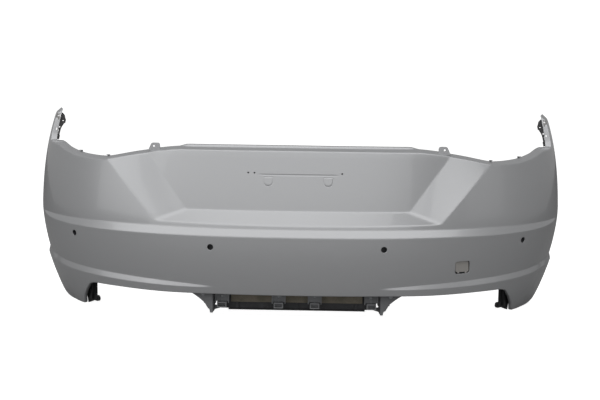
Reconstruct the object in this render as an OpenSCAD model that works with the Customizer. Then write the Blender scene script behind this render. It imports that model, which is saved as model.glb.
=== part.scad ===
// Rear bumper cover: a painted skin and the brackets, sensor holders, cover cap and lower carrier it holds.
// Millimetres. X is the width, the outer face looks towards -Y, Z is up, the floor is z = 0.

/* [Cover] */
// half of the plan width at the widest height
shell_half = 919; // [880:1:940]
// how far the plan curve runs forward before its half-width ends
corner_depth = 560; // [520:1:600]
// squareness of the plan curve, 2 is an ellipse
plan_power = 2.5; // [2.2:0.1:2.9]
// height where the cover is widest
widest_z = 320; // [280:5:360]
// how far each side tucks in at the floor
low_tuck = 76; // [50:1:100]
// how far each side tucks in at the top crease
high_tuck = 12; // [4:1:30]
// wall thickness of the skin
skin_t = 3; // [2.5:0.1:4]

/* [Recess] */
// depth of the plate recess at its foot
recess_depth = 38; // [25:1:50]
// height of the plate recess foot
recess_foot_z = 329; // [315:1:340]

/* [Steps] */
// height of the shoulder strip at the centre
shoulder_h = 23; // [16:1:30]
// how far the shoulder strip stands out per mm of its height
step_ratio = 0.7; // [0.4:0.05:1]

/* [Fittings] */
// radius of the parking sensor openings
sensor_r = 9.6; // [8:0.1:12]
// width of the towing eye opening
tow_w = 49; // [44:1:54]
// height of the towing eye opening
tow_h = 40; // [38:1:46]
// how far the towing eye cap is tipped in at its upper edge, degrees
cap_tip = 11; // [6:1:14]
// distance of the inner clip receivers from the centre
receiver_in_x = 58; // [52:1:64]
// distance of the outer clip receivers from the centre
receiver_out_x = 240; // [226:1:242]

/* [Hidden] */
mid_y = 280.8;
lift = 12;
crease_z = 517;
arch_y = 800;
arch_z = 40;
arch_r = 370;
front_y = 560;
end_nominal = 82;

// ---- plan curve and its lean ----
function clamp(v, lo = 0, hi = 1) = min(max(v, lo), hi);
function unit(v) = v / norm(v);
function sup(a) = pow(pow(abs(sin(a)), plan_power) + pow(abs(cos(a)), plan_power), -1 / plan_power);
function half_w(z) = z < widest_z
    ? shell_half - low_tuck * pow((widest_z - z) / widest_z, 1.7)
    : shell_half - high_tuck * pow((z - widest_z) / (crease_z - widest_z), 2.5);
function lean(z) = z > 276 ? 16 + 50 * pow((z - 276) / 241, 1.2)
    : z < 230 ? 16 + 14 * pow((230 - z) / 164, 2) : 16;
function plan(a, z) = [half_w(z) * sup(a) * sin(a), lean(z) + corner_depth * (1 - sup(a) * cos(a))];
function plan_out(a, z) = let(r = sup(a),
    nx = sign(a) * pow(abs(r * sin(a)), plan_power - 1) / half_w(z),
    ny = -pow(abs(r * cos(a)), plan_power - 1) / corner_depth) [nx, ny] / norm([nx, ny]);

// ---- the wheel arch and the front edge end the skin ----
function edge_y(z) = let(h = arch_r * arch_r - pow(max(z - arch_z, 0), 2))
    h <= 0 ? front_y : min(front_y, arch_y - sqrt(h));
function end_angle(z, lo = 45, hi = 90, n = 20) = n == 0 ? (lo + hi) / 2
    : let(m = (lo + hi) / 2) plan(m, z)[1] > edge_y(z) ? end_angle(z, lo, m, n - 1)
    : end_angle(z, m, hi, n - 1);

// ---- a smooth curve through a short list of [position, value] ----
function seg(t, T, i = 0) = (i >= len(T) - 2 || t < T[i + 1][0]) ? i : seg(t, T, i + 1);
function rise(T, i) = (T[i + 1][1] - T[i][1]) / (T[i + 1][0] - T[i][0]);
function slope(T, i) = i == 0 || i == len(T) - 1 ? 0
    : let(a = rise(T, i - 1), b = rise(T, i)) a * b <= 0 ? 0 : 2 * a * b / (a + b);
function curve(t, T) = let(i = seg(t, T), h = T[i + 1][0] - T[i][0], u = clamp((t - T[i][0]) / h))
    (2 * u * u * u - 3 * u * u + 1) * T[i][1] + (u * u * u - 2 * u * u + u) * h * slope(T, i)
    + (3 * u * u - 2 * u * u * u) * T[i + 1][1] + (u * u * u - u * u) * h * slope(T, i + 1);

// ---- the lines across the face, against the nominal angle ----
crease_line = [[0, 517], [16, 516], [18.5, 511], [22, 499], [29.3, 477], [36, 481], [42, 489], [50, 503],
    [58, 514], [66, 523], [67, 540], [68, 575], [69, 603], [70.5, 618], [73, 621], [76, 596], [82, 430]];
edge_line = [[0, 66], [30, 67], [45, 73], [49.4, 74], [51.2, 70], [53.6, 50], [56.4, 20], [59.4, -12],
    [67, -12], [76, -2], [82, 42]];
function shoulder_top(a) = 276 + 10 * pow(clamp(a / 60.6), 2);
function shoulder_low(a) = shoulder_top(a) - 2 - (shoulder_h - 2) * (1 - pow(clamp(a / 66), 6));
function sill_top(a) = 92 + 55 * clamp((a - 20) / 52, 0, 1.1);
function sill_h(a) = 3 + 16 * (1 - pow(1 - clamp((a - 20) / 35), 3));
function sill_step(a) = step_ratio * (sill_h(a) - 3) * 0.85;
function foot(x) = 286 + 8 * pow(x / 443, 2);
function lines(a) = [curve(a, crease_line), recess_foot_z, 289 + 4 * pow(min(a, 28) / 28, 2), shoulder_top(a),
    shoulder_low(a), sill_top(a), sill_top(a) - sill_h(a), curve(a, edge_line)];

// ---- the plate recess, bounded by two creases each side ----
function smin(a, b, k) = let(h = max(k - abs(a - b), 0) / k) min(a, b) - h * h * k / 4;
function recess(x, z) = let(xo = 459 + 0.915 * (z - 301), xi = 362 + 0.753 * (z - 329),
    tx = (xo - abs(x)) / (xo - xi), tz = (z - foot(x)) / (recess_foot_z - foot(x)))
    clamp(smin(tx, tz, 0.25)) * (recess_depth - 10 * clamp((z - 300) / 200));
function raw_angle(x, z, lo = 0, hi = 80, n = 24) = n == 0 ? (lo + hi) / 2 : let(m = (lo + hi) / 2)
    plan(m / end_nominal * end_angle(z), z)[0] > x ? raw_angle(x, z, lo, m, n - 1)
    : raw_angle(x, z, m, hi, n - 1);
in_a = raw_angle(362, 329);
out_a = raw_angle(484.6, 329);
bend = [[0, 0], [in_a, raw_angle(503.6, 517) - in_a], [out_a, raw_angle(656.6, 517) - out_a],
    [46, 7], [60, 0], [90, 0]];
function warp(an, z) = an + sign(an) * curve(abs(an), bend) * clamp((z - 329) / 188, -0.15, 1);

// ---- the outer face: an is the nominal angle, z the height ----
function true_angle(an, z) = warp(an, z) / end_nominal * end_angle(z);
function step_at(an, z) = let(a = abs(an), t = shoulder_top(a), l = shoulder_low(a), s = sill_top(a))
    step_ratio * (t - l - 2) * clamp((t - z) / (t - l)) + sill_step(a) * clamp((s - z) / sill_h(a));
function face(an, z) = let(a = true_angle(an, z), p = plan(a, z), n = plan_out(a, z),
    d = step_at(an, z) - recess(p[0], z)) [p[0] + n[0] * d, p[1] + n[1] * d, z];
function out_dir(an, z) = let(n = plan_out(true_angle(an, z), z)) [n[0], n[1], 0];
function angle_at(x, z, lo = 0, hi = 80, n = 24) = x < 0 ? -angle_at(-x, z)
    : n == 0 ? (lo + hi) / 2 : let(m = (lo + hi) / 2)
    face(m, z)[0] > x ? angle_at(x, z, lo, m, n - 1) : angle_at(x, z, m, hi, n - 1);

// ---- the grid of the skin ----
half_angles = concat([for (a = [0:3.6:18]) a],
    [in_a - 1.6, in_a, in_a + 2, (in_a + out_a) / 2, out_a - 1.6, out_a, out_a + 2],
    [34, 37, 40, 43, 46, 48, 49.4, 50.3, 51.2, 52.4, 53.6, 55, 56.4, 57.9, 59.4],
    [61.5, 63.5, 65, 66, 67, 68, 69, 70.5, 73, 76, 79, 82]);
angles = concat([for (i = [len(half_angles) - 1:-1:1]) -half_angles[i]], half_angles);
row_parts = [6, 3, 1, 1, 4, 1, 2];
function rows(a) = let(L = lines(abs(a)))
    concat([for (k = [0:6]) for (j = [0:row_parts[k] - 1]) L[k] + (L[k + 1] - L[k]) * j / row_parts[k]],
    [L[7]]);
function shelf(a) = 25 - 6 * clamp((a - 64) / 4) - 9 * clamp((a - 71) / 5);
function shelf_rise(a) = 11 * clamp((67 - a) / 7) + 14 * clamp((a - 67.2) / 2.4) * clamp((76 - a) / 3);
function column(an) = let(zs = rows(an), c = face(an, zs[0]), n = out_dir(an, zs[0]), a = abs(an),
    e = face(an, zs[len(zs) - 1]), m = out_dir(an, zs[len(zs) - 1]))
    concat([c - n * shelf(a) + [0, 0, shelf_rise(a)], c - n * shelf(a) * 0.4 + [0, 0, shelf_rise(a) * 0.45]],
    [for (z = zs) face(an, z)], [e - m * 12]);

module sheet(cols, t) {
    nc = len(cols);
    nr = len(cols[0]);
    function across(i, j) = cols[min(i + 1, nc - 1)][j] - cols[max(i - 1, 0)][j];
    function down(i, j) = cols[i][max(j - 1, 0)] - cols[i][min(j + 1, nr - 1)];
    outer = [for (c = cols) each c];
    inner = [for (i = [0:nc - 1]) for (j = [0:nr - 1])
        cols[i][j] - t * unit(cross(across(i, j), down(i, j)))];
    s = nc * nr;
    function id(i, j) = i * nr + j;
    skin = [for (i = [0:nc - 2]) for (j = [0:nr - 2])
        each i * 2 < nc - 1
            ? [[id(i, j), id(i + 1, j), id(i, j + 1)], [id(i + 1, j), id(i + 1, j + 1), id(i, j + 1)]]
            : [[id(i, j), id(i + 1, j), id(i + 1, j + 1)], [id(i, j), id(i + 1, j + 1), id(i, j + 1)]]];
    back = [for (f = skin) [s + f[0], s + f[2], s + f[1]]];
    ends = [for (i = [0:nc - 2]) each [[id(i, 0), s + id(i, 0), s + id(i + 1, 0)],
        [id(i, 0), s + id(i + 1, 0), id(i + 1, 0)],
        [id(i, nr - 1), s + id(i + 1, nr - 1), s + id(i, nr - 1)],
        [id(i, nr - 1), id(i + 1, nr - 1), s + id(i + 1, nr - 1)]]];
    sides = [for (j = [0:nr - 2]) each [[id(0, j), id(0, j + 1), s + id(0, j + 1)],
        [id(0, j), s + id(0, j + 1), s + id(0, j)],
        [id(nc - 1, j), s + id(nc - 1, j + 1), id(nc - 1, j + 1)],
        [id(nc - 1, j), s + id(nc - 1, j), s + id(nc - 1, j + 1)]]];
    polyhedron(concat(outer, inner), concat(skin, back, ends, sides), convexity = 10);
}

// ---- a local frame on the outer face: X along it, Y up it, Z straight out ----
function frame_at(x, z) = let(a = angle_at(x, z), p = face(a, z),
    tx = unit(face(a + 0.6, z) - face(a - 0.6, z)),
    tz = face(a, z + 6) - face(a, z - 6), n = unit(cross(tx, tz)), ty = cross(n, tx))
    [[tx[0], ty[0], n[0], p[0]], [tx[1], ty[1], n[1], p[1]], [tx[2], ty[2], n[2], p[2]], [0, 0, 0, 1]];
module on_face(x, z) {
    multmatrix(frame_at(x, z)) children();
}
// the same place, with Y upright and Z level
module plumb(x, z) {
    m = frame_at(x, z);
    translate([m[0][3], m[1][3], m[2][3]]) rotate([90, 0, atan2(m[0][2], -m[1][2])]) children();
}
module drill(x, z, r, depth = 60) {
    on_face(x, z) translate([0, 0, -depth / 2]) cylinder(r = r, h = depth, $fn = 64);
}
module both() {
    children();
    mirror([1, 0, 0]) children();
}
module round_plate(w, h, r, t) {
    translate([-w / 2 + r, -h / 2, 0]) cube([w - 2 * r, h, t]);
    translate([-w / 2, -h / 2 + r, 0]) cube([w, h - 2 * r, t]);
    for (i = [-1, 1]) {
        for (j = [-1, 1]) {
            translate([i * (w / 2 - r), j * (h / 2 - r), 0]) cylinder(r = r, h = t, $fn = 48);
        }
    }
}

sensor_out_x = 734;
sensor_out_z = 234;
sensor_in_x = 272;
sensor_in_z = 218;
tow_x = 526;
tow_z = 157;
tab_x = 469;
tab_y = 152;
tab_z = 524;
hole_a = 69;
slot_a = 67.6;
guide_lug_r = 3.4;
leg_lug_r = 3.2;
nut_r = 4.2;

// frame on the rear flange of the horn: X outboard, Y up along the horn, Z to the rear
function horn_frame(a) = let(c = column(a), p = c[1], v = unit(p - column(a - 0.8)[1]),
    n = unit(cross(c[2] - c[0], v)), w = cross(v, n))
    [[w[0], v[0], n[0], p[0]], [w[1], v[1], n[1], p[1]], [w[2], v[2], n[2], p[2]], [0, 0, 0, 1]];
module on_horn(a) {
    multmatrix(horn_frame(a)) children();
}
module horn_slot() {
    translate([-2.5, -1.8, -12]) cube([5, 3.6, 24]);
    for (i = [-1, 1]) {
        translate([i * 2.5, 0, -12]) cylinder(r = 1.8, h = 24, $fn = 48);
    }
}
module top_tab() {
    // upright tab with a screw hole, rooted on the top flange
    translate([tab_x - 20, tab_y, 507]) cube([40, 3, 15]);
    translate([tab_x - 14, tab_y, 520]) cube([28, 3, 15]);
    for (i = [-1, 1]) {
        translate([tab_x + i * 14, tab_y, 520]) intersection() {
            rotate([-90, 0, 0]) cylinder(r = 6, h = 3, $fn = 48);
            translate([-6, 0, 0]) cube([12, 3, 15]);
        }
    }
}
module cover_skin() {
    color([0.62, 0.63, 0.64]) union() {
        difference() {
            sheet([for (a = angles) column(a)], skin_t);
            drill(sensor_in_x, sensor_in_z, sensor_r);
            drill(-sensor_in_x, sensor_in_z, sensor_r);
            drill(sensor_out_x, sensor_out_z, sensor_r);
            drill(-sensor_out_x, sensor_out_z, sensor_r);
            on_face(tow_x, tow_z) translate([0, 0, -30]) round_plate(tow_w, tow_h, 6, 60);
            both() on_horn(hole_a) translate([0, 0, -12]) cylinder(r = 5.2, h = 24, $fn = 48);
            both() on_horn(slot_a) horn_slot();
            translate([139, 0, 448]) rotate([-90, 0, 0]) cylinder(r = 2.6, h = 150, $fn = 48);
            translate([-139, 0, 448]) rotate([-90, 0, 0]) cylinder(r = 2.6, h = 150, $fn = 48);
            translate([-159, 0, 448]) rotate([-90, 0, 0]) cylinder(r = 2.6, h = 150, $fn = 48);
        }
        both() difference() {
            top_tab();
            translate([tab_x, tab_y - 10, tab_z]) rotate([-90, 0, 0]) cylinder(r = 3, h = 30, $fn = 48);
        }
    }
}

// ---- fittings at the horns ----
module guide() {
    // black guide bracket inside the horn: a tapering web, a ring lug and a catch at its foot
    outline = [[-7, 13], [-12, 15], [-21, 8], [-27, -6], [-27, -16], [-20, -35], [-18, -47], [-10, -47],
        [-8, -36]];
    on_horn(hole_a) difference() {
        union() {
            translate([0, 0, -10]) linear_extrude(height = 3.6) polygon(outline);
            translate([-19, -11, -20]) cylinder(r = 7.6, h = 13, $fn = 48);
            translate([-18, -80, -13.6]) cube([6, 42, 4.4]);
            translate([-20, -80, -17]) cube([11, 14, 9]);
            translate([-27, -16, -24]) cube([3, 12, 16]);
        }
        translate([-19, -11, -40]) cylinder(r = guide_lug_r, h = 80, $fn = 48);
        translate([-12.5, -37.5, -20]) cylinder(r = 2.6, h = 20, $fn = 48);
    }
}
module horn_nuts() {
    // folded sheet nut over the round hole of each horn
    color([0.7, 0.71, 0.72]) both() on_horn(hole_a) difference() {
        union() {
            translate([-6, -8, 0.5]) cube([11.5, 14, 1.2]);
            translate([-6, -13, 0.5]) cube([4, 6, 1.2]);
        }
        translate([0, 0, -20]) cylinder(r = nut_r, h = 60, $fn = 48);
    }
}
module shelf_clip(a) {
    // spring clip pressed over the inner edge of the lamp shelf
    p = column(a)[0];
    n = out_dir(a, crease_z - 30);
    translate(p) rotate([0, 0, atan2(n[0], -n[1])]) union() {
        translate([-5, -4, 2]) cube([10, 7.4, 1.8]);
        translate([-5, 1.8, -7]) cube([10, 1.6, 9.4]);
    }
}
module lamp_edge_clips() {
    color([0.35, 0.36, 0.37]) both() union() {
        shelf_clip(28.6);
        shelf_clip(40.2);
    }
}
module upper_guide_left() {
    color([0.07, 0.07, 0.08]) mirror([1, 0, 0]) guide();
}
module upper_guide_right() {
    color([0.07, 0.07, 0.08]) guide();
}

// ---- parking sensor holders ----
module holder() {
    // bonded cup behind the opening, with two latch ears and a closed end
    translate([0, 0, -0.7]) difference() {
        union() {
            translate([0, 0, -6.4]) cylinder(r = 17, h = 3, $fn = 64);
            translate([0, 0, -22]) cylinder(r = 12.4, h = 17, $fn = 64);
            translate([-16, -4, -16]) cube([32, 8, 10]);
        }
        translate([0, 0, -20]) cylinder(r = sensor_r - 0.2, h = 40, $fn = 64);
    }
}
module sensor_holder_outer_left() {
    color([0.3, 0.31, 0.32]) on_face(-sensor_out_x, sensor_out_z) holder();
}
module sensor_holder_inner_left() {
    color([0.3, 0.31, 0.32]) on_face(-sensor_in_x, sensor_in_z) holder();
}
module sensor_holder_inner_right() {
    color([0.3, 0.31, 0.32]) on_face(sensor_in_x, sensor_in_z) holder();
}
module sensor_holder_outer_right() {
    color([0.3, 0.31, 0.32]) on_face(sensor_out_x, sensor_out_z) holder();
}

// ---- towing eye cap: it swings out on a pin in the lower gap ----
pin_y = -tow_h / 2 + 2.6;
pin_z = -2.6;
module tow_eye_cap() {
    color([0.58, 0.57, 0.56]) on_face(tow_x, tow_z) translate([0, pin_y, pin_z]) rotate([-cap_tip, 0, 0])
    difference() {
        union() {
            translate([0, tow_h / 2 - 0.2, -0.4]) round_plate(tow_w - 3, tow_h - 5.4, 5, 2.6);
            translate([0, tow_h / 2 - 0.2, -2.2]) round_plate(tow_w - 12, tow_h - 14, 3, 2.2);
            for (i = [-1, 1]) {
                translate([i * 13 - 3, 0, 0]) rotate([0, 90, 0]) cylinder(r = 2.2, h = 6, $fn = 48);
                translate([i * 13 - 3, 0, -0.4]) cube([6, 5, 2.2]);
            }
        }
        translate([-30, 0, 0]) rotate([0, 90, 0]) cylinder(r = 1.25, h = 60, $fn = 48);
    }
}
module tow_cap_hinge() {
    // pin and the two arms that carry it, on a pad bonded inside the skin
    color([0.12, 0.12, 0.13]) on_face(tow_x, tow_z) union() {
        translate([-20, pin_y, pin_z]) rotate([0, 90, 0]) cylinder(r = 1.2, h = 40, $fn = 48);
        for (i = [-1, 1]) {
            translate([i * 18.5 - 1.5, pin_y - 1.2, -9]) cube([3, 2.4, 6.4]);
            translate([i * 18.5 - 1.5, pin_y - 12, -9]) cube([3, 12, 3]);
        }
        translate([-20, pin_y - 16, -9]) cube([40, 8, 3]);
    }
}

eye_r = 14;
module tow_eye_funnel() {
    // dark box behind the opening, closed at its end round the bore of the towing eye
    color([0.07, 0.07, 0.075]) on_face(tow_x, tow_z) difference() {
        union() {
            translate([-34, -33, -12]) cube([68, 63, 3]);
            translate([-31, -24, -52]) cube([62, 52, 42]);
            for (i = [-1, 1]) {
                translate([i * 31 - 3, 26, -10]) cube([6, 4, 5.4]);
            }
        }
        translate([-28, -21, -49]) cube([56, 46, 60]);
        translate([0, 2, -60]) cylinder(r = eye_r, h = 60, $fn = 64);
    }
}

// ---- lower carrier ----
function inner_y(x, z) = let(a = angle_at(abs(x), z), p = face(a, z), n = out_dir(a, z))
    p[1] - n[1] * (skin_t + 1.4);
shelf_z = 70.6;
module carrier_shelf() {
    // flat shelf lying on the inner rim of the skin, cut to its curve
    w = 318;
    pts = concat([for (x = [-w:26.5:w]) [x, inner_y(x, shelf_z)]], [[w, 112], [-w, 112]]);
    translate([0, 0, shelf_z]) linear_extrude(height = 3) polygon(pts);
}
module blind_marks() {
    // shallow moulded recesses in the rear of the web: a triangle and three short bars
    translate([-160, 0, 0]) polygon([[-11, 24], [11, 24], [3, 16], [0, 10], [-3, 16]]);
    translate([-126, 12]) square([5, 8]);
    for (x = [-104, -95, -86]) {
        translate([x, 11]) square([3, 8]);
    }
}
module diffuser_carrier() {
    color([0.16, 0.16, 0.17]) difference() {
        union() {
            carrier_shelf();
            translate([-246, 108, 5]) cube([492, 3.5, 67]);
            translate([-220, 94, 3]) cube([440, 17, 3]);
            for (i = [-1, 1]) {
                translate([i * 281 - 19, 104, 20]) cube([38, 7, 51.5]);
            }
            for (x = [-192, 0, 192]) {
                translate([x - 4, 99, 4]) cube([8, 10, 22]);
            }
        }
        both() translate([0, 109.6, 0]) rotate([90, 0, 0]) linear_extrude(height = 3) blind_marks();
    }
}
fin_turn = 13;
fin_low_x = 275;
fin_bow = 64;
module fin() {
    // outer fin: a bowed rear face turned to the cover's curve, an inner side wall and a front face
    bow = [for (t = [0:0.125:1]) [fin_low_x - 267 + fin_bow * 1.28 * pow(1 - t, 1.8), 70.5 * (1 - t)]];
    difference() {
        union() {
            translate([267, 56, 0]) rotate([0, 0, fin_turn]) rotate([90, 0, 0]) linear_extrude(height = 3)
                polygon(concat(bow, [[0, 0], [0, 70.5]]));
            translate([0, 0, 1]) linear_extrude(height = 69)
                polygon([[267, 53.5], [271, 54.4], [267.5, 101], [264, 101]]);
            translate([0, 103.7, 0]) rotate([90, 0, 0]) linear_extrude(height = 4)
                polygon([[306, 69], [306, 36], [286, 3], [266, 1], [246, 7], [240, 14], [263.5, 16],
                    [263.5, 69]]);
        }
        translate([300, 60.4, 58]) rotate([-90, 0, fin_turn]) translate([0, 0, -10])
            cylinder(r = 2.6, h = 30, $fn = 48);
    }
}
module carrier_fin_left() {
    color([0.22, 0.22, 0.23]) mirror([1, 0, 0]) fin();
}
module carrier_fin_right() {
    color([0.22, 0.22, 0.23]) fin();
}
screw_z = 49;
module receiver() {
    // clip receiver: ribbed back plate, screw boss and a rectangular socket open to the rear
    difference() {
        union() {
            translate([-22, 92, 30]) cube([44.6, 4, 40]);
            for (i = [-1, 1]) {
                translate([i * 20.6 - 1.4, 84, 26]) cube([2.8, 10, 44]);
            }
            translate([-15, 70, 14]) cube([30, 26, 18]);
            translate([0, 86, screw_z]) rotate([-90, 0, 0]) cylinder(r = 9.5, h = 8, $fn = 48);
            translate([-12, 94, 20]) cube([24, 13.8, 30]);
            translate([-3, 86, 31]) cube([6, 8, 12]);
        }
        translate([-12.2, 60, 17]) cube([24.4, 32, 12]);
        translate([0, 60, screw_z]) rotate([-90, 0, 0]) cylinder(r = 2.6, h = 34, $fn = 48);
    }
}
module clip_receiver_outer_left() {
    color([0.2, 0.21, 0.22]) translate([-receiver_out_x, 0, 0]) receiver();
}
module clip_receiver_inner_left() {
    color([0.2, 0.21, 0.22]) translate([-receiver_in_x, 0, 0]) receiver();
}
module clip_receiver_inner_right() {
    color([0.2, 0.21, 0.22]) translate([receiver_in_x, 0, 0]) receiver();
}
module clip_receiver_outer_right() {
    color([0.2, 0.21, 0.22]) translate([receiver_out_x, 0, 0]) receiver();
}
module foam_strip() {
    color([0.33, 0.3, 0.26]) difference() {
        translate([-212, 101.5, 27]) cube([424, 6.2, 43]);
        for (i = [-1, 1]) {
            translate([i * receiver_in_x - 13, 90, 18]) cube([26, 30, 34]);
        }
    }
}
module screw(r, h) {
    // pan head screw, head towards +Z
    cylinder(r = r, h = h * 0.3, $fn = 48);
    translate([0, 0, h * 0.3]) cylinder(r1 = r, r2 = r * 0.6, h = h * 0.25, $fn = 48);
    translate([0, 0, -h]) cylinder(r = 2.5, h = h + 1, $fn = 32);
}
module receiver_screws() {
    color([0.55, 0.56, 0.58]) union() {
        for (x = [-receiver_out_x, -receiver_in_x, receiver_in_x, receiver_out_x]) {
            translate([x, 85.9, screw_z]) rotate([90, 0, 0]) screw(6, 5);
        }
    }
}
module fin_screws() {
    color([0.45, 0.46, 0.48]) union() {
        both() translate([300, 60.4, 58]) rotate([0, 0, fin_turn]) rotate([90, 0, 0]) screw(7, 6);
    }
}

// ---- brackets inside the legs ----
module leg_bracket() {
    // upright plate close behind the leg's inner edge, with a rib, two slots and a round lug
    outline = [[16, -56], [6, -53], [-14, -45], [-27, -40], [-18, -24], [-14, -6], [-16, 14], [-26, 34],
        [32, 34], [30, 0]];
    plumb(700, 46) translate([14, 0, -4]) difference() {
        union() {
            translate([0, 0, -32]) linear_extrude(height = 3) polygon(outline);
            translate([-14, -38, -32]) cube([9, 66, 12]);
            translate([-36, -34, -32]) cylinder(r = 9.5, h = 6, $fn = 48);
            translate([-36, -43.5, -32]) cube([14, 19, 6]);
            translate([-17, -38, -42]) cube([3, 66, 11]);
            translate([0, 34, -32]) cube([26, 12, 3]);
            translate([12, 34, -30]) cube([14, 12, 36]);
        }
        translate([-10, -22, -40]) cube([5, 7, 30]);
        translate([-10, -8, -40]) cube([5, 7, 30]);
        translate([-37, -34, -60]) cylinder(r = leg_lug_r, h = 80, $fn = 48);
    }
}
module corner_bracket_left() {
    color([0.06, 0.06, 0.07]) mirror([1, 0, 0]) leg_bracket();
}
module corner_bracket_right() {
    color([0.06, 0.06, 0.07]) leg_bracket();
}

// everything is set over the centre of its footprint, with the leg tips on the floor
module seat() {
    translate([0, -mid_y, lift]) children();
}

seat() cover_skin();
seat() upper_guide_left();
seat() upper_guide_right();
seat() horn_nuts();
seat() lamp_edge_clips();
seat() sensor_holder_outer_left();
seat() sensor_holder_inner_left();
seat() sensor_holder_inner_right();
seat() sensor_holder_outer_right();
seat() tow_eye_cap();
seat() tow_cap_hinge();
seat() tow_eye_funnel();
seat() diffuser_carrier();
seat() carrier_fin_left();
seat() carrier_fin_right();
seat() clip_receiver_outer_left();
seat() clip_receiver_inner_left();
seat() clip_receiver_inner_right();
seat() clip_receiver_outer_right();
seat() receiver_screws();
seat() fin_screws();
seat() foam_strip();
seat() corner_bracket_left();
seat() corner_bracket_right();
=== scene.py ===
# %% [markdown]
# # A rear bumper cover
# The real object is one large painted plastic skin with small moulded parts fixed inside it.
# The mechanical parts come in as a ready frame; here the skin is built again as a fine smooth
# mesh, every part gets its own finish, and a plain studio is set around it.

# %% Load the frame
import math

import bmesh
import bpy
import numpy as np
from mathutils import Matrix, Vector


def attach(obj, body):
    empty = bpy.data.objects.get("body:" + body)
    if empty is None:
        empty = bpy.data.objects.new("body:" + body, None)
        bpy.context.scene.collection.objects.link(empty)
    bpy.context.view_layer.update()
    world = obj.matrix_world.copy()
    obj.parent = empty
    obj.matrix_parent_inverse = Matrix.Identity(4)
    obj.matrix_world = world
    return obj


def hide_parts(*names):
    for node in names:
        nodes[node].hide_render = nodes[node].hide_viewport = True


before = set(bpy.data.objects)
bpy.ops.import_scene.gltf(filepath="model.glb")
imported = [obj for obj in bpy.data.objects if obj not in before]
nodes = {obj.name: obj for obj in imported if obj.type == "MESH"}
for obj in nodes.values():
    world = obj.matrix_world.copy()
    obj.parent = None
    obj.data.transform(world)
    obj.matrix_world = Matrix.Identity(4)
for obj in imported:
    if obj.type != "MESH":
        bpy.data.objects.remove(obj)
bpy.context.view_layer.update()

# %% [markdown]
# ## A helper for finishes
# A finish is a net of shader nodes. Writing the net as sums keeps it readable, so one small
# class wraps an output socket and turns + and * into Math nodes. Every other node comes from
# one method that takes the node's type, its settings and its inputs.

# %% Shader helper
class Wire:
    """One output socket that can be used in sums."""

    def __init__(self, finish, socket):
        self.finish, self.socket = finish, socket

    def sum(self, operation, a, b):
        return self.finish.node("ShaderNodeMath", {"operation": operation}, {0: a, 1: b})["Value"]

    def __add__(self, other):
        return self.sum("ADD", self, other)

    def __radd__(self, other):
        return self.sum("ADD", other, self)

    def __mul__(self, other):
        return self.sum("MULTIPLY", self, other)

    def over(self, low, high):
        """0 below low, 1 above high, smooth between."""
        settings = {"interpolation_type": "SMOOTHSTEP"}
        links = {"Value": self, "From Min": low, "From Max": high}
        return self.finish.node("ShaderNodeMapRange", settings, links)["Result"]


class Made:
    """A node whose outputs are read by name."""

    def __init__(self, finish, node):
        self.finish, self.made = finish, node

    def __getitem__(self, name):
        return Wire(self.finish, self.made.outputs[name])


class Finish:
    """A material built from nodes."""

    def __init__(self, name):
        self.material = bpy.data.materials.new(name)
        self.material.use_nodes = True
        self.tree = self.material.node_tree
        self.tree.nodes.clear()

    def node(self, kind, settings=None, links=None):
        made = self.tree.nodes.new(kind)
        for key, value in (settings or {}).items():
            if key == "stops":
                ramp = made.color_ramp
                while len(ramp.elements) < len(value):
                    ramp.elements.new(0.5)
                for element, (place, colour) in zip(ramp.elements, value):
                    element.position, element.color = place, (*colour, 1.0)
            else:
                setattr(made, key, value)
        for key, value in (links or {}).items():
            if isinstance(value, Wire):
                self.tree.links.new(value.socket, made.inputs[key])
            else:
                made.inputs[key].default_value = value
        return Made(self, made)

    def place(self):
        """Where on the object a point is, in metres."""
        return self.node("ShaderNodeTexCoord")["Object"]

    def noise(self, scale, detail=2.0, rough=0.5):
        links = {"Vector": self.place(), "Scale": scale, "Detail": detail, "Roughness": rough}
        return self.node("ShaderNodeTexNoise", None, links)["Fac"]

    def blend(self, factor, a, b):
        made = self.node("ShaderNodeMix", {"data_type": "RGBA"})
        ins = [s for s in made.made.inputs if s.type == "RGBA"]
        for socket, value in ((made.made.inputs[0], factor), (ins[0], a), (ins[1], b)):
            if isinstance(value, Wire):
                self.tree.links.new(value.socket, socket)
            else:
                socket.default_value = (*value, 1.0) if isinstance(value, tuple) else value
        return Wire(self, [s for s in made.made.outputs if s.type == "RGBA"][0])

    def bump(self, height, distance, strength=1.0):
        links = {"Height": height, "Distance": distance, "Strength": strength}
        return self.node("ShaderNodeBump", None, links)["Normal"]

    def surface(self, **sockets):
        """Ends the net in one Principled surface."""
        links = {key.replace("_", " "): value for key, value in sockets.items()}
        links = {k: (*v, 1.0) if isinstance(v, tuple) and len(v) == 3 else v for k, v in links.items()}
        shader = self.node("ShaderNodeBsdfPrincipled", None, links)
        self.node("ShaderNodeOutputMaterial", None, {"Surface": shader["BSDF"]})
        return self.material


print("shader helper ready")

# %% [markdown]
# ## The painted skin's finish
# Silver paint is a grey base with fine metal flakes under a clear coat. The flakes are too
# small to model, so a fine noise moves roughness and the normal a little, and a wide, weak
# noise gives the gentle waviness of a moulded plastic panel.

# %% Silver paint
def silver_paint(name, colour):
    f = Finish(name)
    flake = f.noise(2600.0, 1.0)
    wave = f.noise(9.0, 2.0)
    dust = f.noise(38.0, 5.0, 0.65).over(0.52, 0.8)
    shade = f.blend(dust * 0.10, colour, tuple(min(1.0, c * 1.18) for c in colour))
    shade = f.blend(flake * 0.16, shade, tuple(c * 0.72 for c in colour))
    rough = 0.33 + dust * 0.05 + flake * 0.04
    bumps = f.bump(flake * 0.3 + wave * 8.0, 0.00006, 0.5)
    return f.surface(Base_Color=shade, Metallic=0.5, Roughness=rough, Normal=bumps,
                     Coat_Weight=0.7, Coat_Roughness=0.05, Coat_IOR=1.5)


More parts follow.
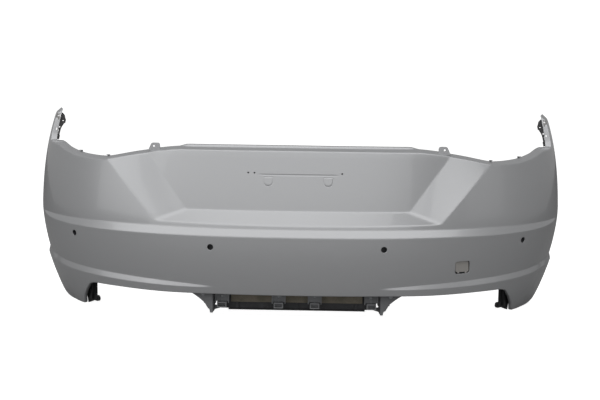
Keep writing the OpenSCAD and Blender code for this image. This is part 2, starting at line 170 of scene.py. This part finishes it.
paint = silver_paint("silver_paint", (0.42, 0.425, 0.435))
# The towing eye cap wears the same silver paint as the skin; this copy is a little darker and warmer, which
# is painted shade for the pushed-in cap.
cap_paint = silver_paint("cap_paint", (0.39, 0.375, 0.355))
print("paint ready")

# %% [markdown]
# ## Moulded plastics and plated steel
# Unpainted car plastics have a fine spark-eroded grain. It is a bump a fraction of a
# millimetre across. A wide, weak noise makes patches of it a little paler, as wear does.

# %% Plastics and steel
def moulded(name, colour, rough=0.55, grain=900.0, depth=0.00008, pale=1.5):
    f = Finish(name)
    pits = f.noise(grain, 2.0)
    cloud = f.noise(30.0, 4.0, 0.6)
    worn = tuple(min(1.0, c * pale + 0.004) for c in colour)
    shade = f.blend(cloud.over(0.45, 0.75), colour, worn)
    return f.surface(Base_Color=shade, Roughness=rough + cloud * 0.12,
                     Normal=f.bump(pits, depth, 0.6), Specular_IOR_Level=0.45)


def plated(name, colour, rough=0.3):
    f = Finish(name)
    spots = f.noise(420.0, 3.0, 0.6)
    shade = f.blend(spots.over(0.4, 0.8), colour, tuple(c * 0.7 for c in colour))
    return f.surface(Base_Color=shade, Metallic=1.0, Roughness=rough + spots * 0.2,
                     Normal=f.bump(spots, 0.00004, 0.5))


black_plastic = moulded("black_plastic", (0.012, 0.012, 0.013), 0.42)
# Raw plastic for the inside of the skin; the same dark finish also closes the plate screw holes as painted
# shade.
raw_plastic_and_hole_shade = moulded("raw_plastic_and_hole_shade", (0.03, 0.03, 0.032), 0.6)
grey_plastic = moulded("grey_plastic", (0.05, 0.052, 0.055), 0.5)
clip_plastic = moulded("clip_plastic", (0.27, 0.275, 0.285), 0.5, pale=1.15)
fin_plastic = moulded("fin_plastic", (0.17, 0.173, 0.18), 0.5, 700.0, pale=1.15)
carrier_plastic = moulded("carrier_plastic", (0.045, 0.046, 0.049), 0.5, 700.0)
zinc = plated("zinc_steel", (0.2, 0.195, 0.185), 0.4)
dull_steel = plated("dull_steel", (0.32, 0.33, 0.34), 0.42)


def pad_finish():
    f = Finish("pad_strip")
    fibre = f.noise(520.0, 6.0, 0.7)
    patch = f.noise(26.0, 3.0)
    shade = f.blend(patch.over(0.35, 0.7), (0.20, 0.18, 0.14), (0.27, 0.24, 0.19))
    shade = f.blend(fibre.over(0.4, 0.7) * 0.6, shade, (0.12, 0.105, 0.082))
    return f.surface(Base_Color=shade, Roughness=0.92, Normal=f.bump(fibre, 0.0008, 0.8))


pad = pad_finish()
print(len(bpy.data.materials), "finishes")

# %% [markdown]
# ## The shape of the skin, in formulas
# The cover is one smooth wrap-round surface, so a formula says where each point lies. Seen
# from above it is a squarish half ellipse. It tucks in towards the floor, and its lines,
# such as the shoulder strip and the plate recess, are steps added along the outward normal.
# Millimetres are used here, with y = 0 at the rearmost point, and turned into metres last.

# %% Plan curve
MID_Y, LIFT = 280.8, 12.0
HALF, DEPTH, POWER = 919.0, 560.0, 2.5
WIDEST, CREASE = 320.0, 517.0
END = 82.0
GROOVE_Z, GROOVE_END = 442.0, 127.0
TRAY_Z = 329.0  # height where the foot of the plate recess meets its back
FLAT_TOP = 514.0  # height of the first line below the top edge, at the middle


def ease(t, k=0.05):
    """A ramp from 0 to 1 with rounded ends."""
    low = np.maximum(t, 0) + np.maximum(k - np.abs(t), 0) ** 2 / (4 * k)
    return np.minimum(low, 1) - np.maximum(k - np.abs(low - 1), 0) ** 2 / (4 * k)


def sup(a):
    return (np.abs(np.sin(a)) ** POWER + np.abs(np.cos(a)) ** POWER) ** (-1 / POWER)


def half_width(z):
    low = 76 * (np.maximum(WIDEST - z, 0) / WIDEST) ** 1.7
    high = 12 * (np.maximum(z - WIDEST, 0) / (CREASE - WIDEST)) ** 2.5
    return HALF - low - high


def lean(z):
    return 16 + 50 * (np.maximum(z - 276, 0) / 241) ** 1.2 + 14 * (np.maximum(230 - z, 0) / 164) ** 2


def plan(a, z):
    r = sup(a)
    return half_width(z) * r * np.sin(a), lean(z) + DEPTH * (1 - r * np.cos(a))


def plan_out(a, z):
    r = sup(a)
    nx = np.sign(a) * np.abs(r * np.sin(a)) ** (POWER - 1) / half_width(z)
    ny = -(np.abs(r * np.cos(a)) ** (POWER - 1)) / DEPTH
    n = np.hypot(nx, ny)
    return nx / n, ny / n


def end_angle(z):
    """Where the wheel arch or the front edge ends the skin at this height."""
    drop = 370.0**2 - np.maximum(z - 40.0, 0) ** 2
    edge = np.where(drop <= 0, 560.0, np.minimum(560.0, 800.0 - np.sqrt(np.maximum(drop, 0))))
    lo, hi = np.full(np.shape(z), math.radians(45)), np.full(np.shape(z), math.radians(90))
    for _ in range(22):
        mid = (lo + hi) / 2
        beyond = plan(mid, z)[1] > edge
        lo, hi = np.where(beyond, lo, mid), np.where(beyond, mid, hi)
    return (lo + hi) / 2


half_way = math.degrees(float(end_angle(np.array(300.0))))
print("end of the skin at half height:", round(half_way, 1), "degrees")

# %% [markdown]
# ## The lines across the skin
# Each line's height changes along the cover. A few heights are joined by a smooth curve that
# never overshoots, which is how a clay modeller lays tape.

# %% Lines
def through(knots, t):
    """A smooth curve through [position, value] pairs that never overshoots."""
    xs, ys = np.array(knots, float).T
    rise = np.diff(ys) / np.diff(xs)
    slope = np.zeros(len(xs))
    same = rise[:-1] * rise[1:] > 0
    total = np.where(same, rise[:-1] + rise[1:], 1.0)
    slope[1:-1] = np.where(same, 2 * rise[:-1] * rise[1:] / total, 0.0)
    i = np.clip(np.searchsorted(xs, t, side="right") - 1, 0, len(xs) - 2)
    h = xs[i + 1] - xs[i]
    u = np.clip((t - xs[i]) / h, 0, 1)
    return ((2 * u**3 - 3 * u**2 + 1) * ys[i] + (u**3 - 2 * u**2 + u) * h * slope[i]
            + (3 * u**2 - 2 * u**3) * ys[i + 1] + (u**3 - u**2) * h * slope[i + 1])


TOP_EDGE = [[0, 517], [16, 516], [18.5, 511], [22, 499], [29.3, 477], [36, 481], [42, 489], [50, 503],
            [58, 514], [66, 523], [67, 540], [68, 575], [69, 603], [70.5, 618], [73, 621],
            [76, 596], [82, 430]]
LOW_EDGE = [[0, 66], [30, 67], [45, 73], [49.4, 74], [51.2, 70], [53.6, 50], [56.4, 20], [59.4, -12],
            [67, -12], [76, -2], [82, 42]]


def shoulder_top(a):
    return 276 + 10 * np.clip(a / 60.6, 0, 1) ** 2


def shoulder_low(a):
    return shoulder_top(a) - 2 - 21 * (1 - np.clip(a / 66, 0, 1) ** 6)


def sill_top(a):
    return 92 + 55 * np.clip((a - 20) / 52, 0, 1.1)


def sill_height(a):
    return 3 + 16 * (1 - (1 - np.clip((a - 20) / 35, 0, 1)) ** 3)


def lines(a):
    a = np.abs(a)
    tray_foot = 289 + 4 * (np.minimum(a, 28) / 28) ** 2
    return np.array([through(TOP_EDGE, a) - 3, np.full(np.shape(a), TRAY_Z), tray_foot,
                     shoulder_top(a), shoulder_low(a), sill_top(a), sill_top(a) - sill_height(a),
                     through(LOW_EDGE, a) + 3])


print("top edge at the middle and at the horn:", TOP_EDGE[0][1], TOP_EDGE[-3][1], "mm")

# %% [markdown]
# ## The plate recess
# The plate sits in a shallow tray with two slanted sides and a ledge at its foot. The tray is
# a ramp on two distances, to its side and to its foot, and the smaller one wins with a
# rounded corner where they meet.

# %% Recess
def recess(x, z):
    outer = 459 + 0.915 * (z - 301)
    inner = 362 + 0.753 * (z - TRAY_Z)
    foot = 286 + 8 * (x / 443) ** 2
    side = (outer - np.abs(x)) / (outer - inner)
    base = (z - foot) / (TRAY_Z - foot)
    near = np.minimum(side, base) - np.maximum(0.14 - np.abs(side - base), 0) ** 2 / 0.56
    return ease(near, 0.035) * (38 - 10 * np.clip((z - 300) / 200, 0, 1))


def groove(x, z):
    """Depth of the thin pressed line over the plate area."""
    across = np.clip(1 - ((z - GROOVE_Z) / 3.2) ** 2, 0, 1)
    return 0.9 * across * np.clip((GROOVE_END - np.abs(x)) / 6, 0, 1)


def nominal(x, z):
    """The nominal angle of a point of the plain curve."""
    lo, hi = 0.0, 80.0
    for _ in range(26):
        mid = (lo + hi) / 2
        beyond = plan(mid / END * end_angle(np.array(z)), z)[0] > x
        lo, hi = (lo, mid) if beyond else (mid, hi)
    return (lo + hi) / 2


LIP, LIP_X = 6.5, 388.0
IN_A, OUT_A = nominal(362.0, TRAY_Z), nominal(484.6, TRAY_Z)
BEND = [[0, 0], [IN_A, nominal(503.6, CREASE) - IN_A], [OUT_A, nominal(656.6, CREASE) - OUT_A],
        [46, 7], [60, 0], [90, 0]]


def face(an, z):
    """Point of the outer face at a nominal angle and a height, and its level outward direction."""
    share = np.clip((z - TRAY_Z) / (CREASE - TRAY_Z), -0.15, 1)
    bent = an + np.sign(an) * through(BEND, np.abs(an)) * share
    a = bent / END * end_angle(z)
    x, y = plan(a, z)
    nx, ny = plan_out(a, z)
    w = np.abs(an)
    top, low, sill, height = shoulder_top(w), shoulder_low(w), sill_top(w), sill_height(w)
    out = (0.7 * (top - low - 2) * ease((top - z) / (top - low), 0.06)
           + 0.595 * (height - 3) * ease((sill - z) / height, 0.07) - recess(x, z) - groove(x, z))
    return np.stack([x + nx * out, y + ny * out, z], -1), np.stack([nx, ny, 0 * nx], -1)


tries = np.linspace(10, 30, 400)
LIP_END = float(np.interp(LIP_X, face(tries, np.full(400, CREASE))[0][:, 0], tries)) - 0.9
print("recess creases at nominal", round(float(IN_A), 2), round(float(OUT_A), 2))
print("lip ends at", round(LIP_END, 2))

# %% [markdown]
# ## One function for the whole sheet
# A second number v runs down a column: -2 to -1 is the top flange, -1 to 0 its rounded bend,
# 0 to 7 the outer face from line to line, 7 to 8 the lower bend and 8 to 9 the lower rim.

# %% Sheet function
def sheet(an, v):
    an, v = np.broadcast_arrays(np.asarray(an, float), np.asarray(v, float))
    w = np.abs(an)
    lv = lines(an)
    k = np.clip(np.floor(v).astype(int), 0, 6)
    t = np.clip(v - k, 0, 1)
    idx = np.indices(an.shape)
    z = lv[(k, *idx)] * (1 - t) + lv[(k + 1, *idx)] * t
    body, _ = face(an, z)
    crest, n = face(an, lv[0] + 3)
    first, _ = face(an, lv[0])
    width = (25 - 6 * np.clip((w - 64) / 4, 0, 1) - 9 * np.clip((w - 71) / 5, 0, 1))[..., None]
    lift = (11 * np.clip((67 - w) / 7, 0, 1)
            + 14 * np.clip((w - 67.2) / 2.4, 0, 1) * np.clip((76 - w) / 3, 0, 1))[..., None]
    up = np.array([0, 0, 1.0])
    start = crest - n * 3 + up * lift * 3 / width
    inner = crest - n * width + up * lift
    s = np.clip(v + 2, 0, 1)[..., None]
    c = np.clip(v + 1, 0, 1)[..., None]
    lip = LIP * (1 - ease((w - LIP_END) / 0.9, 0.1)) * np.clip(-1.78 - v, 0, 0.22) / 0.22
    flange = inner * (1 - s) + start * s + up * lip[..., None]
    bend = (1 - c) ** 2 * start + 2 * c * (1 - c) * crest + c**2 * first
    foot, m = face(an, lv[7] - 3)
    last, _ = face(an, lv[7])
    d = np.clip(v - 7, 0, 1)[..., None]
    e = np.clip(v - 8, 0, 1)[..., None]
    turn = (1 - d) ** 2 * last + 2 * d * (1 - d) * foot + d**2 * (foot - m * 3)
    rim = foot - m * (3 + 9 * e)
    v = v[..., None]
    outside = np.where(v <= 7, body, np.where(v <= 8, turn, rim))
    return np.where(v < -1, flange, np.where(v < 0, bend, outside))


print("middle of the crest", sheet(0.0, -0.5).round(1))

# %% [markdown]
# ## The grid
# Columns and rows lie close together at creases and corners, and wide on the calm panels, so
# the bends look round without wasting faces.

# %% Grid
def spread(*stops):
    """Positions with a chosen spacing in each stretch."""
    out = []
    for (a, gap), (b, _) in zip(stops, stops[1:]):
        n = max(1, round((b - a) / gap))
        out += [a + (b - a) * i / n for i in range(n)]
    return out + [stops[-1][0]]


half_columns = spread((0, 0.45), (IN_A - 3, 0.24), (IN_A - 0.5, 0.1), (IN_A + 0.5, 0.24),
                      (OUT_A - 0.5, 0.1), (OUT_A + 0.5, 0.25), (OUT_A + 2, 0.45), (49, 0.2), (60.4, 0.42),
                      (65.6, 0.16), (71, 0.4), (END, 0))
columns = np.array([-a for a in half_columns[:0:-1]] + half_columns)


def bunch(n, near=1.6):
    """n steps from 0 to 1, closer together at both ends."""
    t = np.arange(n) / n
    s = np.where(t < 0.5, 0.5 * (2 * t) ** near, 1 - 0.5 * (2 - 2 * t) ** near)
    return list(s)


steps = [(-2, [0, 0.1, 0.22, 0.5, 0.75]), (-1, [0, 0.33, 0.67]), (0, bunch(28, 1.35)),
         (1, bunch(13, 1.2)), (2, bunch(4, 1.0)), (3, bunch(10, 1.3)), (4, bunch(24, 1.45)),
         (5, bunch(9, 1.3)), (6, bunch(11, 1.2)), (7, [0, 0.33, 0.67]), (8, [0, 0.5, 1.0])]
tray_height = FLAT_TOP - TRAY_Z
groove_v = (FLAT_TOP - GROOVE_Z) / tray_height
near_groove = [groove_v + step / tray_height for step in (-4.2, -3.2, -2.1, -1.0, 0.0, 1.0, 2.1, 3.2, 4.2)]
rows = np.array([base + s for base, part in steps for s in part
                 if not (base == 0 and abs(s - groove_v) < 0.03)])
rows = np.sort(np.concatenate([rows, near_groove]))
print(len(columns), "columns,", len(rows), "rows")

# %% [markdown]
# ## Openings in the skin
# Sensor holes, screw holes and the towing eye opening are not cut afterwards. A block of the
# grid is left out and refilled with rings that run from the block's square border to the
# opening's outline, so the surface stays smooth right up to the edge. Three screw holes over
# the plate end 2.2 mm in at a dark raw-plastic bottom, which is painted shade for the dark space
# seen through them, and two marks are only pressed in: their rings go on inward, each pushed
# back by its own depth, until they close.

# %% Opening helper
def local_frame(an, v):
    """Point, across, up and out directions of the sheet."""
    p = sheet(an, v)
    across = sheet(an + 0.05, v) - sheet(an - 0.05, v)
    down = sheet(an, v + 0.004) - sheet(an, v - 0.004)
    out = np.cross(down, across)
    out /= np.linalg.norm(out)
    across_unit = across / np.linalg.norm(across)
    up = np.cross(out, across_unit)
    jac = np.array([[across @ across_unit / 0.1, down @ across_unit / 0.008],
                    [across @ up / 0.1, down @ up / 0.008]])
    return p, across_unit, up, out, jac


def find(x, z, an, v):
    """Nominal angle and v of the point of the sheet at this x and z."""
    for _ in range(12):
        p, _, _, _, _ = local_frame(an, v)
        ja = (sheet(an + 0.05, v) - sheet(an - 0.05, v))[[0, 2]] / 0.1
        jv = (sheet(an, v + 0.004) - sheet(an, v - 0.004))[[0, 2]] / 0.008
        da, dv = np.linalg.solve(np.stack([ja, jv], 1), np.array([x, z]) - p[[0, 2]])
        an, v = an + da, v + dv
    return float(an), float(v)


def round_outline(r):
    return lambda angle: r


def box_outline(w, h, power=7):
    """A rectangle whose corners are rounder the lower the power is."""
    def radius(angle):
        across, up = abs(math.cos(angle) / (w / 2)), abs(math.sin(angle) / (h / 2))
        return (across**power + up**power) ** (-1 / power)
    return radius


def arch_outline(w, h):
    """Straight sides and a flat top over a half-round foot."""
    def radius(angle):
        if math.sin(angle) <= 0:
            return w
        return min(w / max(abs(math.cos(angle)), 1e-6), h / math.sin(angle))
    return radius


# What lies inside an outline: rings as (share of the outline, depth, material), from outside in.
THROUGH = []
# A screw hole with dark walls and a dark bottom 2.2 mm in; the bottom is painted shade for the space seen
# through the hole.
SHADE_BOTTOMED_HOLE = [(1.0, 2.2, 1), (0.5, 2.2, 1)]
PRESSED = [(0.95, 0.7, 0), (0.88, 0.0, 0), (0.5, 0.0, 0)]
SENSOR_IN, SENSOR_OUT = (272.0, 218.0), (734.0, 234.0)
holes = []
for side in (-1, 1):
    for x, z in (SENSOR_IN, SENSOR_OUT):
        holes.append((find(side * x, z, side * x / 16.0, 4.3), round_outline(9.6), 15.0, 15.0, THROUGH))
    holes.append(((side * 69.0, -1.6), round_outline(5.2), 6.6, 7.0, THROUGH))
    holes.append(((side * 67.6, -1.6), box_outline(8.6, 3.6, 4), 6.2, 4.0, THROUGH))
    holes.append((find(side * 95.0, 422.0, side * 6.0, 0.5), arch_outline(16.5, 15.0), 20.0, 19.0, PRESSED))
TOW = find(526.0, 157.0, 30.0, 4.6)
holes.append((TOW, box_outline(50.4, 41.4), 31.0, 26.0, THROUGH))
# Three plate screw holes, each closed by a dark bottom that is painted shade.
for x in (139, -139, -159):
    holes.append((find(float(x), 448.0, x / 16.0, 0.4), round_outline(2.9), 6.0, 6.0, SHADE_BOTTOMED_HOLE))
print(len(holes), "openings")

# %% [markdown]
# ## The skin as a mesh
# The outer face is made first. A Solidify modifier then gives the 3 mm wall, and it also
# closes the wall inside each opening.

# %% Build the skin
def build_skin():
    grid = sheet(columns[:, None], rows[None, :])
    nc, nr = grid.shape[:2]
    points = [grid.reshape(-1, 3)]
    count = nc * nr
    kept = np.ones((nc - 1, nr - 1), bool)
    faces, dark = [], []
    for (an, v), outline, reach_x, reach_y, inside in holes:
        _, _, _, out, jac = local_frame(an, v)
        inverse = np.linalg.inv(jac)
        reach = np.abs(inverse) @ np.array([reach_x, reach_y])
        i0 = int(np.searchsorted(columns, an - reach[0]) - 1)
        i1 = int(np.searchsorted(columns, an + reach[0]))
        j0 = max(0, int(np.searchsorted(rows, v - reach[1]) - 1))
        j1 = int(np.searchsorted(rows, v + reach[1]))
        kept[i0:i1, j0:j1] = False
        loop = ([(i, j0) for i in range(i0, i1)] + [(i1, j) for j in range(j0, j1)]
                + [(i, j1) for i in range(i1, i0, -1)] + [(i0, j) for j in range(j1, j0, -1)])
        ids = [i * nr + j for i, j in loop]
        start = np.array([[columns[i], rows[j]] for i, j in loop])
        flat = (start - [an, v]) @ jac.T
        angle = np.arctan2(flat[:, 1], flat[:, 0])
        radius = np.array([outline(t) for t in angle])
        goal = np.stack([radius * np.cos(angle), radius * np.sin(angle)], 1) @ inverse.T + [an, v]
        rings = [(start * (1 - part) + goal * part, 0.0, 0) for part in (0.4, 0.7, 0.9, 1.0)]
        rings += [((goal - [an, v]) * part + [an, v], push, kind) for part, push, kind in inside]
        for ring, push, kind in rings:
            points.append(sheet(ring[:, 0], ring[:, 1]) - out * push)
            new = [count + q for q in range(len(ids))]
            count += len(ids)
            for q in range(len(ids)):
                r = (q + 1) % len(ids)
                faces.append((ids[q], new[q], new[r], ids[r]))
                dark.append(kind)
            ids = new
        if inside:
            points.append(sheet(an, v)[None] - out * inside[-1][1])
            for q in range(len(ids)):
                faces.append((ids[q], count, ids[(q + 1) % len(ids)]))
                dark.append(inside[-1][2])
            count += 1
    i, j = np.nonzero(kept)
    base = i * nr + j
    quads = np.stack([base, base + 1, base + nr + 1, base + nr], 1)
    coords = np.concatenate(points)
    coords += [0, -MID_Y, LIFT]
    mesh = bpy.data.meshes.new("skin")
    mesh.from_pydata((coords / 1000).tolist(), [], quads.tolist() + faces)
    kinds = [0] * len(quads) + dark
    mesh.polygons.foreach_set("use_smooth", [kind == 0 for kind in kinds])
    mesh.polygons.foreach_set("material_index", kinds)
    for finish in (paint, raw_plastic_and_hole_shade):
        mesh.materials.append(finish)
    skin = bpy.data.objects.new("painted_skin", mesh)
    bpy.context.scene.collection.objects.link(skin)
    wall = skin.modifiers.new("wall", "SOLIDIFY")
    wall.thickness, wall.offset = 0.003, -1.0
    wall.material_offset = 1
    return skin


skin = build_skin()
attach(skin, "cover")
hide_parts("cover_skin")
print("skin faces", len(skin.data.polygons))

# %% [markdown]
# ## The two top tabs
# A flat tongue stands up from the inner edge of the top flange on each side. Its inner side
# is upright, its outer side slants, and it has one screw hole. It is one outline with a hole,
# made solid and softened at its edges.

# %% Top tabs
def top_tab(side):
    outline = [(-20, -14), (-20, 7), (-17.5, 11.5), (-13, 13), (3, 13), (7.5, 11.5), (10, 8), (20, -14)]
    hole = [(3.0 * math.cos(q * math.pi / 12), 2 + 3.0 * math.sin(q * math.pi / 12)) for q in range(24)]
    made = bmesh.new()
    rims = []
    for loop in (outline, hole):
        points = [made.verts.new((side * (469 + x), 152.0, 522 + z)) for x, z in loop]
        rims += [made.edges.new((points[q], points[(q + 1) % len(points)])) for q in range(len(points))]
    bmesh.ops.triangle_fill(made, use_beauty=True, use_dissolve=False, edges=rims)
    for vert in made.verts:
        vert.co = (vert.co + Vector((0, -MID_Y, LIFT))) / 1000
    mesh = bpy.data.meshes.new("top_tab")
    made.to_mesh(mesh)
    mesh.materials.append(paint)
    tab = bpy.data.objects.new("top_tab_right" if side > 0 else "top_tab_left", mesh)
    bpy.context.scene.collection.objects.link(tab)
    wall = tab.modifiers.new("wall", "SOLIDIFY")
    wall.thickness, wall.offset = 0.003, 1.0 if side > 0 else -1.0
    edge = tab.modifiers.new("soft edge", "BEVEL")
    edge.width, edge.segments, edge.limit_method = 0.0006, 2, "ANGLE"
    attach(tab, "cover")
    return tab


for side in (-1, 1):
    top_tab(side)
print("tabs made")

# %% [markdown]
# ## Finishes on the small parts
# The brackets, clips and screws are already the right shape. Each gets a finish and a small
# bevel, because a moulded or pressed part never has a knife edge.

# %% Dress the small parts
# The towing eye cap gets the darker, warmer copy of the silver paint, which is painted shade.
dress = {"upper_guide": black_plastic, "corner_bracket": black_plastic, "tow_cap_hinge": black_plastic,
         "sensor_holder": grey_plastic, "lamp_edge": paint, "clip_receiver": clip_plastic,
         "diffuser_carrier": carrier_plastic, "carrier_fin": fin_plastic,
         "tow_eye_funnel": black_plastic, "horn_nuts": zinc, "receiver_screws": dull_steel,
         "fin_screws": dull_steel, "foam_strip": pad, "tow_eye_cap": cap_paint}
for name, part in nodes.items():
    for key, finish in dress.items():
        if name.startswith(key):
            part.data.materials.clear()
            part.data.materials.append(finish)
            bevel = part.modifiers.new("soft edge", "BEVEL")
            bevel.width, bevel.segments, bevel.limit_method = 0.0005, 2, "ANGLE"
            bevel.angle_limit = math.radians(35)
print("dressed", len(nodes), "parts")

# %% [markdown]
# ## Studio
# A pale floor, two big soft lights overhead and in front, and two weak ones at the sides keep
# the silver paint readable. Seen directly, the background is brighter than it lights.

# %% Floor and lights
def floor_finish():
    """A pale floor that the camera sees at full brightness and the object sees as a calm grey."""
    f = Finish("pale_floor")
    seen = f.node("ShaderNodeBsdfPrincipled", None, {
        "Base Color": (0.9, 0.9, 0.9, 1.0), "Roughness": 0.9, "Emission Color": (1.0, 1.0, 1.0, 1.0),
        "Emission Strength": 0.8})["BSDF"]
    calm = f.node("ShaderNodeBsdfDiffuse", None, {"Color": (0.3, 0.3, 0.3, 1.0)})["BSDF"]
    ray = f.node("ShaderNodeLightPath")["Is Camera Ray"]
    both = f.node("ShaderNodeMixShader", None, {0: ray, 1: calm, 2: seen})["Shader"]
    f.node("ShaderNodeOutputMaterial", None, {"Surface": both})
    return f.material


bpy.ops.mesh.primitive_plane_add(size=40, location=(0, 0, -0.0005))
floor = bpy.context.object
floor.name = "studio_floor"
floor.data.materials.append(floor_finish())


def soft_light(name, place, target, size, power):
    data = bpy.data.lights.new(name, "AREA")
    data.shape, data.size, data.size_y, data.energy = "RECTANGLE", size[0], size[1], power
    lamp = bpy.data.objects.new(name, data)
    lamp.location = place
    lamp.rotation_euler = (Vector(target) - Vector(place)).to_track_quat("-Z", "Y").to_euler()
    bpy.context.scene.collection.objects.link(lamp)


soft_light("overhead", (-0.3, -1.5, 3.2), (0, -0.1, 0.3), (6.0, 3.2), 76)
soft_light("front", (-0.6, -4.8, 1.7), (0, 0, 0.3), (6.5, 3.2), 52)
soft_light("left", (-3.4, -2.6, 1.8), (0, 0, 0.35), (2.4, 2.0), 12)
soft_light("right", (3.6, -2.2, 1.6), (0, 0, 0.35), (1.6, 1.6), 2)
world = bpy.data.worlds.new("studio")
bpy.context.scene.world = world
world.use_nodes = True
net = world.node_tree
sky = net.nodes["Background"]
sky.inputs["Color"].default_value = (1, 1, 1, 1)
path = net.nodes.new("ShaderNodeLightPath")
level = net.nodes.new("ShaderNodeMix")
level.data_type = "FLOAT"
net.links.new(path.outputs["Is Camera Ray"], level.inputs[0])
level.inputs[2].default_value, level.inputs[3].default_value = 0.34, 1.2
net.links.new(level.outputs[0], sky.inputs["Strength"])
bpy.context.scene.view_settings.view_transform = "Standard"
print("studio ready")

# %% [markdown]
# ## Camera
# The camera looks at the rear from a little above and a little to the right.

# %% Camera
PITCH, YAW, ROLL = math.radians(6.5), math.radians(0.9), math.radians(0.8)
DISTANCE, EYE_HEIGHT, LENS = 3.2, 0.749, 62.4
camera = bpy.data.cameras.new("camera")
camera.sensor_width, camera.lens, camera.shift_x = 36.0, LENS, 0.004
eye = bpy.data.objects.new("camera", camera)
eye.location = (DISTANCE * math.sin(YAW), -DISTANCE * math.cos(YAW) - MID_Y / 1000, EYE_HEIGHT)
eye.matrix_world = (Matrix.Translation(eye.location) @ Matrix.Rotation(YAW, 4, "Z")
                    @ Matrix.Rotation(math.pi / 2 - PITCH, 4, "X") @ Matrix.Rotation(ROLL, 4, "Z"))
bpy.context.scene.collection.objects.link(eye)
bpy.context.scene.camera = eye
print("camera at", [round(c, 3) for c in eye.location])

# %% [markdown]
# ## Bringing the scene up to date
# The view layer is updated once more so every object sits where it was placed.

# %% Update the view layer
bpy.context.view_layer.update()
